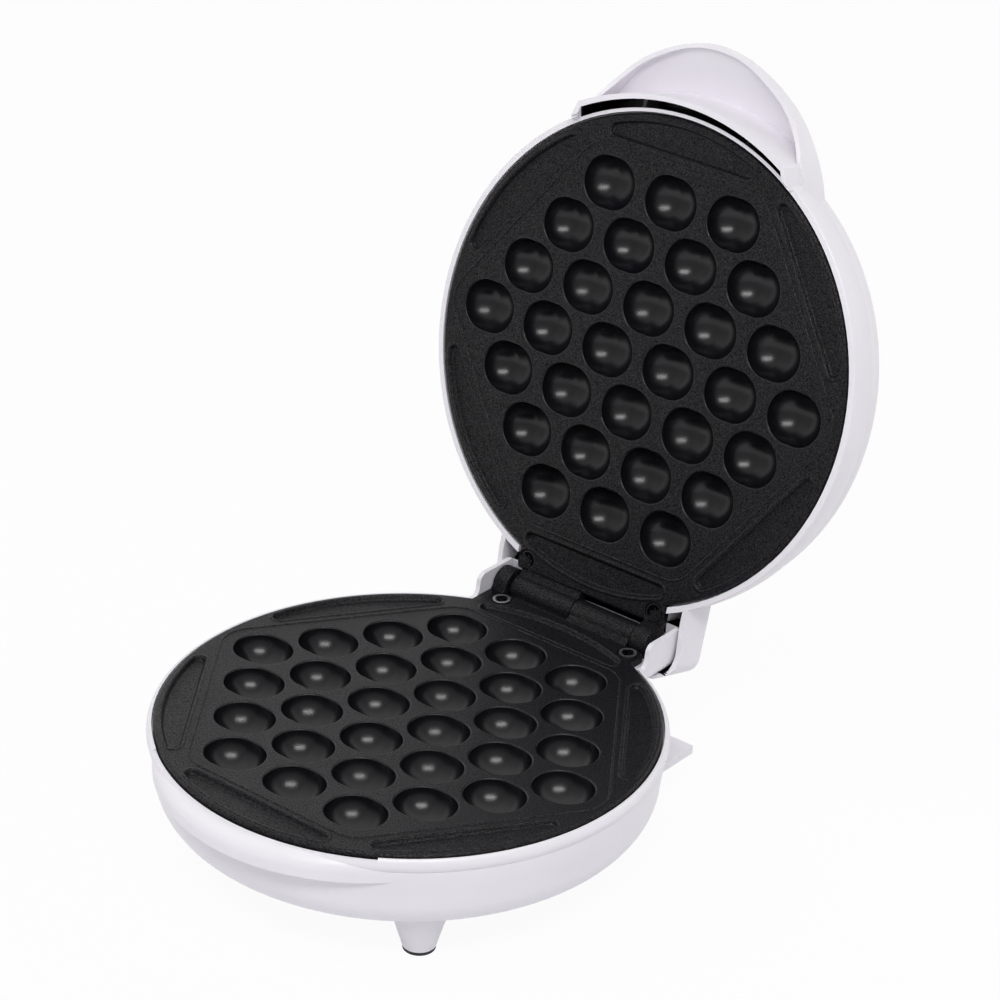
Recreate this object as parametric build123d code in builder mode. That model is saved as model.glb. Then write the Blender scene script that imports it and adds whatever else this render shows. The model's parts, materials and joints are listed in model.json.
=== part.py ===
from build123d import *
import math
import os

os.makedirs("parts", exist_ok=True)

# Bubble waffle maker, all sizes in mm, +Z up, standing on its feet.
# The front is towards -Y, the hinge is at the back, +X is to the right.
# Every piece is drawn in the closed appliance with z = 0 on the base grill face and the
# plate centre at x = y = 0. Base pieces are then lifted onto the feet, and lid pieces are
# first turned open about the hinge pin. The rest pose is the open appliance.

# Grill plates
plate_r = 96.3            # radius of both grill plates
plate_t = 4.0             # thickness of the plate flange
plate_gap = 1.0           # clear gap between the two grill faces when shut
cell_ball = 10.4          # radius of a bubble cavity
cell_dx = 1.8             # half of the straight part that makes a cavity oval
cell_up = 0.6             # the ball centre sits this far above the grill face
cell_wall = 2.2           # casting under a cavity
cell_margin = 9.1         # grill face left between the outermost cavity and the plate edge
row_ratio = 0.708         # row spacing as a share of the spacing along a row
ridge_w = 1.2             # bead that frames the cavity field
ridge_h = 0.35
pocket_deep = 1.5
pocket_half = 34.5        # half length of a segment pocket
rim_w = 3.0               # plate rim outside the pockets
tab_half = 36.7           # half width of the rear tongue
screw_x = 32.0            # plate screws, either side of the middle
screw_back = 4.5          # plate screws in front of the end of the tongue
head_r = 3.6
head_room = 4.1
head_deep = 1.6
shank_r = 1.65
fit = 0.05                # radial clearance of pins, shanks and spigots

# Hinge
hinge_y = 105.4           # hinge pin behind the plate centre
open_deg = 104.9          # opening angle of the lid in its rest pose
pin_r = 2.0
barrel_r = 5.3
end_barrel_r = 6.8
long_k = 30.2
short_k = 6.6
knuckle_gap = 0.4
end_gap = 1.0
knuckle_x = -3.0          # gap between the two long knuckles

# Shells
wall = 2.2
rim_gap = 0.7             # dark gap between plate and shell rim
rim_t = 2.0               # shell rim beside the plate
ledge_w = 3.4
ledge_t = 2.0
base_depth = 34.7         # grill face down to the flat underside of the base
base_round = 14.0
lid_height = 37.0         # base grill face up to the shoulder of the lid
lid_round = 18.0
crown_deg = 5.5           # slope of the dome where it meets the rounded shoulder
draft = 1.7               # inward lean of both walls
recess_deg = 34.5         # half angle of the front recess in the base rim
lip_out = 80.0            # radius of the front lip of the base
lip_y = -24.0             # centre of that radius
lip_top_round = 5.5
lip_low = 11.3            # grill face down to the lower edge of the lip
lip_under = 5.0           # how far the body stands back under that edge
recess_deep = 1.9         # grill face down to the floor of the recess
cheek_in = 41.7           # inside of the hinge cheeks of the base
cheek_t = 2.0
swing = 0.6               # clearance of the hinge box round the cheeks
side_gap = 1.1
cowl_deg = 132            # how far the hinge cowl reaches round under the pin
box_h = 20.5
skirt_low = 5.4           # base grill face down to the skirts at the rear corners of the hinge box
skirt_from = 26.0
shelf_half = 63.0
shelf_y = 97.5
shelf_t = 3.5

# Handle and hanging lip of the lid
handle_half = 55.5
handle_tip = 125.6        # front end of the handle, ahead of the plate centre
handle_rim = 8.0          # lower rim of the handle, shut
handle_rim_tip = 12.3
handle_fall = 200.0       # radius of the cross fall of the handle top
handle_wall = 1.9
handle_roof = 2.6
curtain_out = 104.0       # outside radius of the hanging lip
curtain_t = 2.0
curtain_deg = 28.5
curtain_low = -2.5
slot_top = 17.0
slot_rib_x = 25.7
slot_rib_z = 8.0

# Feet
foot_len = 18.5           # underside of the base down to the table
foot_x = 53.0              # front feet
foot_y = 54.0
rear_foot_x = 44.0         # rear feet, under the shelf, so that the open lid can't tip the base
rear_foot_y = 83.0
foot_low_r = 6.3
foot_top_r = 12.0
pad_t = 1.6
spigot_r = 3.05

# Heaters and controls
element_r = 3.3
element_ring = 62.0
element_gap = 10.0        # half angle of the gap between the two cold ends, degrees
strap_t = 1.2
strap_w = 9.0
post_r = 4.2
post_out = 5.2            # clamp posts outside the heater tube
small_shank = 1.45
small_head = 2.7
small_head_t = 2.0
shield_ring = 45.0
shield_r = 74.0
shield_t = 0.6
shield_flat = 53.0
shield_drop = 5.4         # shield below the straps
stat_r = 8.0
stat_h = 6.5
lens_r = 3.35
lens_x = 11.0
lens_y = -60.0
block_y = 74.0
cord_r = 3.4
gland_r = 4.95
cord_z = 24.0             # cord hole below the grill face
gland_back = 97.0

# Sizes that follow
cell_rx = cell_ball + cell_dx
pitch = (plate_r - cell_margin - cell_rx) / 2.5
row_pitch = row_ratio * pitch
field_y = 3 * row_pitch + cell_ball + 5.5
side_deg = math.degrees(math.atan2(row_pitch, pitch / 2))
bump_r = cell_ball + cell_wall
bump_z = bump_r - cell_up
hinge_z = plate_gap / 2
base_top = base_depth + foot_len
tab_end = hinge_y - end_barrel_r - 0.5
screw_y = tab_end - screw_back
ring_in = plate_r + rim_gap
ring_out = ring_in + rim_t
ledge_in = ring_in - ledge_w
body_r = ring_in + 1.0
low_r = body_r - draft
trough_r = end_barrel_r + 0.4
trough_out = trough_r + 1.6
cheek_out = cheek_in + cheek_t
box_in = cheek_out + side_gap
box_out = box_in + wall
box_y_in = hinge_y + trough_out + swing
box_y = box_y_in + wall
seat_z = -(bump_z + 0.4)
element_z = seat_z - element_r
strap_z = element_z - element_r
shield_z = strap_z - shield_drop
base_c = base_depth - base_round
lid_c = lid_height - lid_round
lid_face = plate_gap
lid_seat = lid_face + plate_t
pad_top = -base_top + pad_t
floor_z = -base_depth + wall

cells = [
    ((k - (n - 1) / 2) * pitch, (row - 3) * row_pitch)
    for row, n in enumerate([3, 4, 5, 6, 5, 4, 3])
    for k in range(n)
]
clamp_angles = (30, 150, 270)
reach = element_r + post_out
clamp_points = [
    (r * math.cos(math.radians(a)), r * math.sin(math.radians(a)))
    for a in clamp_angles
    for r in (element_ring - reach, element_ring + reach)
]
shield_points = [
    (shield_ring * math.cos(math.radians(a)), shield_ring * math.sin(math.radians(a)))
    for a in (90, 210, 330)
]
front_feet = [(side * foot_x, -foot_y) for side in (-1, 1)]
rear_feet = [(side * rear_foot_x, rear_foot_y) for side in (-1, 1)]
feet = front_feet + rear_feet
x0 = knuckle_x - knuckle_gap / 2 - long_k - end_gap - short_k
x1 = knuckle_x - knuckle_gap / 2 - long_k
x2 = knuckle_x + knuckle_gap / 2
x3 = x2 + long_k + end_gap
base_spans = [(x0, x0 + short_k, end_barrel_r), (x2, x2 + long_k, barrel_r)]
lid_spans = [(x1, x1 + long_k, barrel_r), (x3, x3 + short_k + 1.2, end_barrel_r)]
mirrored_spans = [(-b, -a, r) for a, b, r in lid_spans]


def on_circle(cx, cy, r, deg):
    return (cx + r * math.cos(math.radians(deg)), cy + r * math.sin(math.radians(deg)))


def outline(start, *steps):
    """Closed face from a start point and steps: [end] for a line, [middle, end] for an arc,
    [middle, end, (start tangent, end tangent)] for a free curve."""
    with BuildSketch() as face:
        with BuildLine():
            p = start
            for step in steps:
                if len(step) == 1:
                    Line(p, step[0])
                elif len(step) == 2:
                    ThreePointArc(p, step[0], step[1])
                else:
                    Spline(p, step[0], step[1], tangents=step[2])
                p = step[min(1, len(step) - 1)]
            if p != start:
                Line(p, start)
        make_face()
    return face.sketch


def turned(face):
    """Solid of revolution about Z from a face drawn with x as radius and y as height."""
    with BuildPart() as solid:
        with BuildSketch(Plane.XZ):
            add(face)
        revolve(axis=Axis.Z)
    return solid.part


def along_x(face, half):
    """Solid from a face drawn with x as depth and y as height, run along X both ways."""
    with BuildPart() as solid:
        with BuildSketch(Plane.YZ):
            add(face)
        extrude(amount=half, both=True)
    return solid.part


def upright(face, z0, z1):
    """Solid from a plan face between two heights."""
    with BuildPart() as solid:
        with BuildSketch(Plane.XY.offset(z0)):
            add(face)
        extrude(amount=z1 - z0)
    return solid.part


def block(xa, xb, ya, yb, za, zb):
    with BuildPart() as solid:
        with Locations(((xa + xb) / 2, (ya + yb) / 2, (za + zb) / 2)):
            Box(xb - xa, yb - ya, zb - za)
    return solid.part


def post(x, y, r, za, zb):
    with BuildPart() as solid:
        with BuildSketch(Plane.XY.offset(za)):
            with Locations((x, y)):
                Circle(r)
        extrude(amount=zb - za)
    return solid.part


def cone(x, y, ra, rb, za, zb):
    with BuildPart() as solid:
        with Locations((x, y, (za + zb) / 2)):
            Cone(ra, rb, zb - za)
    return solid.part


def rod_x(r, xa, xb, y, z):
    with BuildPart() as solid:
        with BuildSketch(Plane.YZ.offset(xa)):
            with Locations((y, z)):
                Circle(r)
        extrude(amount=xb - xa)
    return solid.part


def rod_y(r, ya, yb, x, z):
    with BuildPart() as solid:
        with BuildSketch(Plane.XZ.offset(-ya)):
            with Locations((x, z)):
                Circle(r)
        extrude(amount=ya - yb)
    return solid.part


def screw(x, y, z, head, head_h, shank, length):
    """Screw driven upwards: head below z, shank above it."""
    with BuildPart() as solid:
        add(post(x, y, head, z - head_h, z))
        add(post(x, y, shank, z, z + length))
        add(block(x - head * 0.6, x + head * 0.6, y - 0.4, y + 0.4, z - head_h, z - head_h + 0.9),
            mode=Mode.SUBTRACT)
        add(block(x - 0.4, x + 0.4, y - head * 0.6, y + head * 0.6, z - head_h, z - head_h + 0.9),
            mode=Mode.SUBTRACT)
    return solid.part


def in_base(part):
    return part.moved(Location((0, origin_y, base_top)))


def turned_over(part):
    """Takes a piece drawn under a grill face to the same place above the lid grill face."""
    return part.rotate(Axis((0, 0, hinge_z), (0, 1, 0)), 180)


def in_lid(part):
    return in_base(part.rotate(Axis((0, hinge_y, hinge_z), (1, 0, 0)), -open_deg))


def oval_ball(r):
    """Ball stretched a little along X."""
    with BuildPart() as ball:
        with BuildSketch(Plane.XY):
            add(outline(
                (-cell_dx - r, 0),
                [on_circle(-cell_dx, 0, r, 135), (-cell_dx, r)],
                [(cell_dx, r)],
                [on_circle(cell_dx, 0, r, 45), (cell_dx + r, 0)],
            ))
        revolve(axis=Axis.X)
    return ball.part


def pocket_face():
    """One shallow segment pocket behind the rear edge of the cavity field."""
    flat, rim = field_y + ridge_w + 1.1, plate_r - rim_w
    edge = math.sqrt(rim**2 - pocket_half**2)
    with BuildSketch() as face:
        with BuildLine():
            Line((-pocket_half, flat), (pocket_half, flat))
            Line((pocket_half, flat), (pocket_half, edge))
            ThreePointArc((pocket_half, edge), (0, rim), (-pocket_half, edge))
            Line((-pocket_half, edge), (-pocket_half, flat))
        make_face()
        fillet(face.vertices(), 2.2)
    return face.sketch


def ridge_face():
    """Bead round the cavity field, a rounded hexagon."""
    n = math.radians(90 - side_deg)
    dist = field_y - 0.6
    cut_x = (dist - field_y * math.sin(n)) / math.cos(n)
    far_x = dist / math.cos(n)
    pts = [(far_x, 0), (cut_x, field_y), (-cut_x, field_y), (-far_x, 0), (-cut_x, -field_y), (cut_x, -field_y)]
    with BuildSketch() as face:
        with BuildLine():
            Polyline(*pts, pts[0])
        make_face()
        fillet(face.vertices(), 14)
        offset(amount=-ridge_w, mode=Mode.SUBTRACT)
    return face.sketch


hook_y = math.sqrt(ledge_in**2 - 31**2)

with BuildPart() as casting:
    add(post(0, 0, plate_r, -plate_t, 0))
    chamfer(casting.edges().group_by(Axis.Z)[-1], 0.5)
    add(block(-tab_half, tab_half, 60, tab_end, -plate_t, 0))
    with Locations(*[(x, y, cell_up) for x, y in cells]):
        add(oval_ball(bump_r))
    for x, y in clamp_points:
        add(post(x, y, post_r, strap_z, -plate_t))
    for a in clamp_angles:
        add(post(*on_circle(0, 0, element_ring, a), post_r, seat_z, -plate_t))
    for x, y in shield_points:
        add(post(x, y, post_r, shield_z, -plate_t))
    add(post(0, 0, stat_r + 2, seat_z, -plate_t))
    for x in (-28, 28):
        lug_z = -plate_t - ledge_t - 2.4
        add(block(x - 3, x + 3, -hook_y + 0.4, -hook_y + 5, lug_z, -plate_t))
        add(block(x - 3, x + 3, -hook_y - 2.0, -hook_y + 5, lug_z, -plate_t - ledge_t - 0.2))
    add(block(-120, 120, -120, 120, 0, 30), mode=Mode.SUBTRACT)
    add(upright(ridge_face(), -0.1, ridge_h))
    with Locations(*[(x, y, cell_up) for x, y in cells]):
        add(oval_ball(cell_ball), mode=Mode.SUBTRACT)
    for turn in (0, 180, side_deg, -side_deg, 180 - side_deg, side_deg - 180):
        add(upright(pocket_face(), -pocket_deep, 5).rotate(Axis.Z, turn), mode=Mode.SUBTRACT)
    for x, y in clamp_points:
        add(post(x, y, small_shank + fit, strap_z - 1, strap_z + 6), mode=Mode.SUBTRACT)
    for x, y in shield_points:
        add(post(x, y, small_shank + fit, shield_z - 1, shield_z + 6), mode=Mode.SUBTRACT)
    add(post(0, 0, 2.0, seat_z - 1, seat_z + 6), mode=Mode.SUBTRACT)
    add(post(0, 6.4, 1.0 + fit, seat_z - 1, seat_z + 5), mode=Mode.SUBTRACT)


def grill_plate(spans):
    """The casting with its grill face up at z = 0 and the knuckles it carries."""
    with BuildPart() as plate:
        add(casting.part)
        for xa, xb, r in spans:
            add(block(xa, xb, 84, tab_end, -plate_t, -0.01))
            add(block(xa, xb, tab_end - 1, hinge_y, -plate_t, hinge_z))
            add(rod_x(r, xa, xb, hinge_y, hinge_z))
        for x in (-screw_x, screw_x):
            add(post(x, screw_y, shank_r + 0.45, -10, 2), mode=Mode.SUBTRACT)
            add(post(x, screw_y, head_room, -head_deep, 2), mode=Mode.SUBTRACT)
        add(rod_x(pin_r + fit, -60, 60, hinge_y, hinge_z), mode=Mode.SUBTRACT)
    return plate.part


def tub(depth, corner, ledge):
    """Hollow of a shell, drawn downwards from a plate ledge."""
    c = depth - corner
    r = low_r - corner
    return turned(outline(
        (0, -ledge), [(ledge_in, -ledge)], [(ledge_in, -ledge - ledge_t)],
        [(body_r - wall, -ledge - ledge_t)], [(low_r - wall, -c)],
        [on_circle(r, -c, corner - wall, -45), (r, -depth + wall)],
        [(0, -depth + wall)],
    ))


# Base shell

with BuildPart() as hinge_cowl:
    h = hinge_y
    add(along_x(outline(
        (82, -1.0), [(89.6, -0.8)], [(91.2, 1.0)], [(91.9, 4.8)], [(93.0, 6.9), (95.6, 7.8)],
        [(h + trough_out - 4, 7.8)], [(h + trough_out - 1.2, 7.2), (h + trough_out, 5.2)],
        [(h + trough_out, hinge_z)],
        [on_circle(h, hinge_z, trough_out, -65), on_circle(h, hinge_z, trough_out, -cowl_deg)],
        [(h - 10.8, -7.0)], [(94, -7.8)], [(94, -17)], [(82, -17)],
    ), cheek_out))
    with BuildSketch(Plane.XZ.offset(-h - 30)) as cowl_front:
        Rectangle(2 * cheek_out, 2 * (trough_out - hinge_z))
        fillet(cowl_front.vertices().group_by(Axis.Y)[0], 4)
        with Locations((0, 20)):
            Rectangle(2 * cheek_out, 40)
        with Locations((0, -trough_out - 8)):
            Rectangle(2 * cheek_out - 10, 20)
    extrude(amount=80, mode=Mode.INTERSECT)
    with BuildSketch(Plane.XY.offset(-30)) as cowl_plan:
        with Locations((0, (h + trough_out + 60) / 2)):
            Rectangle(2 * cheek_out, h + trough_out - 60)
        fillet(cowl_plan.vertices().group_by(Axis.Y)[-1], 4)
    extrude(amount=60, mode=Mode.INTERSECT)

with BuildPart() as front_lip:
    lip_c, lip_e = -recess_deep - lip_top_round, 0.8
    add(turned(outline(
        (0, -recess_deep), [(lip_out - lip_top_round, -recess_deep)],
        [on_circle(lip_out - lip_top_round, lip_c, lip_top_round, 45), (lip_out, lip_c)],
        [(lip_out, lip_e - lip_low)],
        [on_circle(lip_out - lip_e, lip_e - lip_low, lip_e, -40), on_circle(lip_out - lip_e, lip_e - lip_low, lip_e, -75)],
        [(lip_out - lip_under, -lip_low - 3.2)], [(0, -lip_low - 3.2)],
    )).moved(Location((0, lip_y, 0))))
    add(block(-120, 120, -60, 80, -40, 10), mode=Mode.SUBTRACT)

with BuildPart() as recess:
    with BuildSketch(Plane.XY.offset(-recess_deep)):
        with BuildLine():
            w = 150 * math.tan(math.radians(recess_deg))
            Polyline((0, 0), (-w, -150), (w, -150), (0, 0))
        make_face()
    extrude(amount=20)

with BuildPart() as base_form:
    add(turned(outline(
        (0, -1.0), [(ring_in + 0.8, -1.0)],
        [(ring_out, -3.4), (ring_in + 0.8, -6.4)], [(body_r, -7.6)], [(low_r, -base_c)],
        [on_circle(low_r - base_round, -base_c, base_round, -45), (low_r - base_round, -base_depth)],
        [(0, -base_depth)],
    )))
    add(front_lip.part)
    add(hinge_cowl.part)
    add(block(-shelf_half, shelf_half, 55, shelf_y, -base_depth, -base_depth + shelf_t))
    add(block(-9, 9, 85, gland_back, -base_depth, -cord_z + 8.5))
    for x, y in feet:
        add(cone(x, y, foot_low_r, foot_top_r, pad_top, floor_z))
    add(tub(base_depth, base_round, plate_t), mode=Mode.SUBTRACT)
    add(post(0, 0, ring_in, -plate_t, 30), mode=Mode.SUBTRACT)
    add(recess.part, mode=Mode.SUBTRACT)
    for x, y in front_feet:
        add(cone(x, y, foot_low_r - 1.7, foot_top_r - 3.2, pad_top + 3, floor_z + 0.1), mode=Mode.SUBTRACT)
    for x, y in feet:
        add(post(x, y, spigot_r, pad_top - 1, pad_top + 4), mode=Mode.SUBTRACT)
    # room for the tongue and the knuckles, with the rear wall lowered between the cheeks
    add(block(-cheek_in, cheek_in, 80, hinge_y, -plate_t, 30), mode=Mode.SUBTRACT)
    add(rod_x(trough_r, -cheek_in, cheek_in, hinge_y, hinge_z), mode=Mode.SUBTRACT)
    add(block(-cheek_in, cheek_in, hinge_y, hinge_y + trough_r, hinge_z, 30), mode=Mode.SUBTRACT)
    add(block(-tab_half + 0.7, tab_half - 0.7, hinge_y, hinge_y + 20, 1.4, 30), mode=Mode.SUBTRACT)
    for x in (-screw_x, screw_x):
        add(post(x, screw_y, shank_r + fit, -plate_t - 8, 0), mode=Mode.SUBTRACT)
    # floor posts of the terminal block and the inner seat of the gland
    for x in (-11, 11):
        add(post(x, block_y, 3.0, floor_z - 0.5, floor_z + 2))
        add(post(x, block_y, small_shank + fit, floor_z - 1, floor_z + 3), mode=Mode.SUBTRACT)
    add(block(-9, 9, 89, 93.5, floor_z - 0.5, -cord_z + 8.5))
    add(rod_y(gland_r + fit, 80, 105, 0, -cord_z), mode=Mode.SUBTRACT)

# Lid shell, drawn shut

# plan points as shares of the half width and distances behind the front end
handle_edge = [(1.0, 52.0), (0.957, 41.0), (0.886, 32.2), (0.786, 23.4), (0.658, 15.4), (0.474, 8.0),
               (0.262, 2.5)]
pocket_edge = [(0.93, 44.0), (0.905, 39.0), (0.84, 31.0), (0.748, 23.8), (0.62, 15.9), (0.44, 9.0), (0.243, 3.9)]


def handle_plan(edge, inset):
    right = [(handle_half * a, b - handle_tip) for a, b in edge]
    with BuildSketch() as face:
        with BuildLine():
            Spline(*([(-x, y) for x, y in right] + [(0, inset - handle_tip)] + right[::-1]))
            Line(right[0], (-right[0][0], right[0][1]))
        make_face()
    return face.sketch


def handle_top(drop):
    """Solid under the top of the handle, lowered by drop; it falls away to both sides."""
    f = handle_tip
    with BuildPart() as solid:
        with BuildSketch(Plane.YZ):
            with BuildLine():
                Polyline((-60, 32.5 - drop), (-60, -100), (-f - 1, -100), (-f - 1, 14.4 - drop))
                Spline((-f - 1, 14.4 - drop), (-f + 8, 18.9 - drop), (-f + 21, 24.0 - drop),
                       (-f + 36, 28.0 - drop), (-f + 48, 30.4 - drop), (-60, 32.5 - drop))
            make_face()
        revolve(axis=Axis((0, 0, 30 - handle_fall), (0, 1, 0)))
    return solid.part


def curtain_plan(inset):
    a = math.radians(curtain_deg)
    r = curtain_out - inset
    xa, ya = r * math.sin(a) - inset * 0.4, -r * math.cos(a)
    xb, yb = curtain_out * math.sin(a) + 2.9 - inset, -83.0
    return outline((xa, ya), [(xb, yb)], [(xb, -70)], [(-xb, -70)], [(-xb, yb)], [(-xa, ya)], [(0, -r), (xa, ya)])


with BuildPart() as handle_form:
    add(upright(handle_plan(handle_edge, 0), 0, 40))
    add(handle_top(0), mode=Mode.INTERSECT)
    add(along_x(outline(
        (-50, -10), [(-50, handle_rim)], [(-handle_tip + 32, handle_rim)],
        [(-handle_tip + 25.5, handle_rim + 2.6), (-handle_tip + 18, handle_rim_tip - 0.3)],
        [(-handle_tip - 1, handle_rim_tip)], [(-handle_tip - 1, -10)],
    ), 70), mode=Mode.SUBTRACT)

with BuildPart() as finger_pocket:
    add(upright(handle_plan(pocket_edge, handle_wall), -10, 40))
    add(handle_top(handle_roof), mode=Mode.INTERSECT)
    add(post(0, 0, curtain_out - 0.8, -20, 60), mode=Mode.SUBTRACT)
    add(upright(curtain_plan(0), -20, 60), mode=Mode.SUBTRACT)

with BuildPart() as lip_slot:
    add(upright(curtain_plan(curtain_t), -10, slot_top))
    add(post(0, 0, ring_in + 1.4, -20, 60), mode=Mode.SUBTRACT)
    for x in (-slot_rib_x, slot_rib_x):
        add(block(x - 0.8, x + 0.8, -110, -85, slot_rib_z, 60), mode=Mode.SUBTRACT)

with BuildPart() as hinge_box:
    with BuildSketch(Plane.XY.offset(-skirt_low)) as box_plan:
        with Locations((0, (70 + box_y) / 2)):
            Rectangle(2 * box_out, box_y - 70)
        fillet(box_plan.vertices().group_by(Axis.Y)[-1], 6.5)
    extrude(amount=lid_face + box_h + skirt_low)
    fillet(hinge_box.faces().sort_by(Axis.Z)[-1].edges().group_by(Axis.Y)[-1], 5)
    # mouth: level under the side walls, curving down to a skirt at both rear corners
    add(along_x(outline(
        (60, lid_face + 0.6), [(94, lid_face + 0.6)], [(106, 3.2)],
        [(112.6, 1.2), (box_y - 1.4, -skirt_low)], [(box_y - 1.4, -30)], [(60, -30)],
    ), 60), mode=Mode.SUBTRACT)
    add(block(-skirt_from, skirt_from, 60, 130, -30, lid_face + 0.6), mode=Mode.SUBTRACT)

with BuildPart() as hinge_room:
    with BuildSketch(Plane.XY.offset(-20)) as room_plan:
        with Locations((0, (70 + box_y_in) / 2)):
            Rectangle(2 * box_in, box_y_in - 70)
        fillet(room_plan.vertices().group_by(Axis.Y)[-1], 2)
    extrude(amount=20 + lid_face + box_h - wall)
    add(post(0, 0, ring_in + 2.4, -20, 60), mode=Mode.SUBTRACT)

def dome_steps(inset):
    """Rounded shoulder and crowned top of the lid, from the side wall to the axis."""
    r, a = low_r - lid_round, math.radians(crown_deg)
    shoulder = on_circle(r, lid_c, lid_round - inset, 90 - crown_deg)
    big = r / math.sin(a) + lid_round - inset
    centre = shoulder[1] - big * math.cos(a)
    half = shoulder[0] / 2
    return [
        [on_circle(r, lid_c, lid_round - inset, 45), shoulder],
        [(half, centre + math.sqrt(big**2 - half**2)), (0, centre + big),
         ((-math.cos(a), math.sin(a)), (-1, 0))],
    ]


with BuildPart() as lid_hollow:
    add(turned(outline(
        (0, lid_seat), [(ledge_in, lid_seat)], [(ledge_in, lid_seat + ledge_t)],
        [(ring_in + 0.3, lid_seat + ledge_t)], [(low_r - wall, lid_c)], *dome_steps(wall),
    )))

with BuildPart() as lid_form:
    add(turned(outline(
        (0, lid_face + 0.6), [(ring_in + 2.1, lid_face + 0.6)], [(ring_in + 2.4, lid_face + 0.9)],
        [(ring_in + 2.3, 8.0), (low_r, lid_c)], *dome_steps(0),
    )))
    add(handle_form.part)
    add(upright(curtain_plan(0), curtain_low, 20))
    add(hinge_box.part)
    add(lid_hollow.part, mode=Mode.SUBTRACT)
    add(post(0, 0, ring_in, -10, lid_seat), mode=Mode.SUBTRACT)
    add(block(-90, 90, -120, -60, -10, lid_face + 0.6) & post(0, 0, ring_in + 1.4, -10, 10),
        mode=Mode.SUBTRACT)
    # the ends of the hanging lip stay clear of the rim of the base
    add(block(-90, 90, -120, -60, -10, 0.5 - recess_deep) & post(0, 0, ring_out + 0.5, -10, 10),
        mode=Mode.SUBTRACT)
    add(lip_slot.part, mode=Mode.SUBTRACT)
    add(finger_pocket.part, mode=Mode.SUBTRACT)
    add(hinge_room.part, mode=Mode.SUBTRACT)
    add(block(-tab_half - 0.8, tab_half + 0.8, 80, 101, -10, 14), mode=Mode.SUBTRACT)
    for x in (-screw_x, screw_x):
        add(post(x, screw_y, 4.6, lid_seat, 17))
        add(post(x, screw_y, shank_r + fit, 0, lid_seat + 8), mode=Mode.SUBTRACT)
    for x in (-lens_x, lens_x):
        add(post(x, lens_y, lens_r + fit, lid_height - 10, lid_height + 10), mode=Mode.SUBTRACT)

# Pieces inside the base, drawn under the base plate; the lid has the same ones turned over


def heater():
    """Ring of sheathed tube with its two cold ends turned away from the plate."""
    ends = [on_circle(0, 0, element_ring, 90 + s * element_gap) for s in (-1, 1)]
    with BuildPart() as ring:
        with BuildSketch(Plane.XZ):
            with Locations((element_ring, element_z)):
                Circle(element_r)
        revolve(axis=Axis.Z, revolution_arc=360 - 2 * element_gap)
    turned_ring = ring.part.rotate(Axis.Z, 90 + element_gap)
    with BuildPart() as tube:
        add(turned_ring)
        for x, y in ends:
            with Locations((x, y, element_z)):
                Sphere(element_r)
            add(post(x, y, element_r, shield_z - 1.5, element_z))
            add(post(x, y, 1.3, shield_z - 6.5, element_z))
    return tube.part


def clamp_straps():
    """Flat straps that press the heater against the casting."""
    length = 2 * reach + 2 * post_r
    with BuildPart() as straps:
        for a in clamp_angles:
            flat = block(element_ring - length / 2, element_ring + length / 2, -strap_w / 2, strap_w / 2,
                         strap_z - strap_t, strap_z)
            add(flat.rotate(Axis.Z, a))
        for x, y in clamp_points:
            add(post(x, y, small_shank + 0.25, strap_z - 3, strap_z + 1), mode=Mode.SUBTRACT)
    return straps.part


def clamp_screws():
    with BuildPart() as screws:
        for x, y in clamp_points:
            add(screw(x, y, strap_z - strap_t, small_head, small_head_t, small_shank, strap_t + 5))
    return screws.part


def heat_shield():
    """Thin reflector pan under the heater, flat at the back where the cold ends pass."""
    rim = 4.0
    with BuildPart() as pan:
        add(post(0, 0, shield_r, shield_z - shield_t, shield_z + rim))
        add(post(0, 0, shield_r - shield_t, shield_z, shield_z + rim + 1), mode=Mode.SUBTRACT)
        add(block(-90, 90, shield_flat, 90, shield_z - 2, shield_z + rim + 1), mode=Mode.SUBTRACT)
        for x, y in shield_points:
            add(post(x, y, small_shank + 0.25, shield_z - 3, shield_z + 1), mode=Mode.SUBTRACT)
        for a in (30, 150, 210, 270, 330):
            add(post(*on_circle(0, 0, 20, a), 3.0, shield_z - 3, shield_z + 1), mode=Mode.SUBTRACT)
    return pan.part


def shield_screws():
    with BuildPart() as screws:
        for x, y in shield_points:
            add(screw(x, y, shield_z - shield_t, small_head, small_head_t, small_shank, shield_t + 4.5))
    return screws.part


def plate_screws(proud):
    """Two screws whose heads end proud of the grill face, or below it for a negative value."""
    with BuildPart() as screws:
        for x in (-screw_x, screw_x):
            add(post(x, screw_y, head_r, -head_deep, proud))
            add(post(x, screw_y, shank_r, -plate_t - 7, -head_deep))
            add(block(x - 2.2, x + 2.2, screw_y - 0.5, screw_y + 0.5, proud - 0.8, proud + 1),
                mode=Mode.SUBTRACT)
            add(block(x - 0.5, x + 0.5, screw_y - 2.2, screw_y + 2.2, proud - 0.8, proud + 1),
                mode=Mode.SUBTRACT)
    return screws.part


with BuildPart() as fuse_form:
    add(rod_x(2.0, -7, 7, 0, seat_z - 2.0))
    add(rod_x(0.6, -13, -7, 0, seat_z - 2.0))
    add(rod_x(0.6, 7, 13, 0, seat_z - 2.0))

with BuildPart() as clip_form:
    add(along_x(outline(
        (9.0, seat_z), [(2.3, seat_z)], [(2.3, seat_z - 4.0)], [(-2.3, seat_z - 4.0)], [(-2.3, seat_z - 1.0)],
        [(-3.1, seat_z - 1.0)], [(-3.1, seat_z - 4.8)], [(3.1, seat_z - 4.8)], [(3.1, seat_z - 0.8)],
        [(9.0, seat_z - 0.8)],
    ), 3.0))
    add(post(0, 6.4, 1.3, seat_z - 3, seat_z + 1), mode=Mode.SUBTRACT)

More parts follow.
